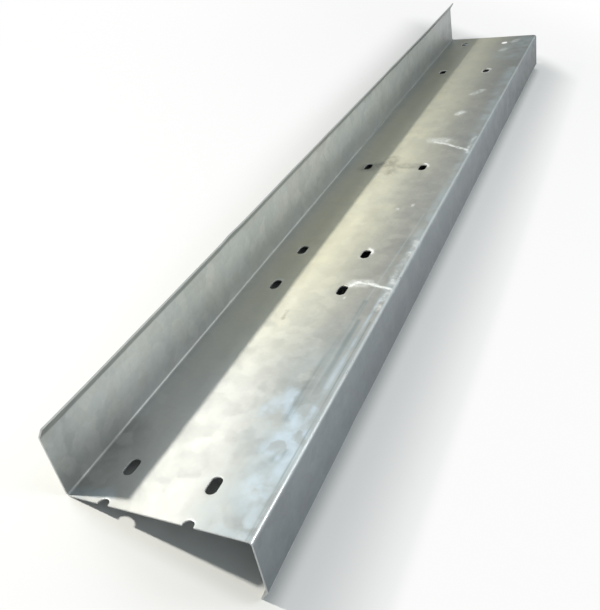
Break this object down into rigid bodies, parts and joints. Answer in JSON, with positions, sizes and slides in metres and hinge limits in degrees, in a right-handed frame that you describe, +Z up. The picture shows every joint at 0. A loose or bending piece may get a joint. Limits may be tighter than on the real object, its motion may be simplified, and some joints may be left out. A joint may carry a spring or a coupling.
{
  "type": "z purlin",
  "caption": "Z-section purlin with sloped lips, cold rolled from galvanised steel sheet and slotted along the web for bolts.",
  "frame": {"origin": "on the floor under the middle of the purlin, at mid-length and mid-width of its box", "axes": "+Y along the purlin towards its back end, +Z up, +X across towards the hanging flange; the web rises towards +X as the purlin lies on the floor"},
  "size_m": [0.2384, 1.5, 0.0823],
  "materials": {
    "galvanised_steel": "weathered hot-dip galvanised sheet, dull with white bloom"
  },
  "bodies": {
    "root": {"z_purlin": "galvanised_steel"}
  },
  "joints": []
}
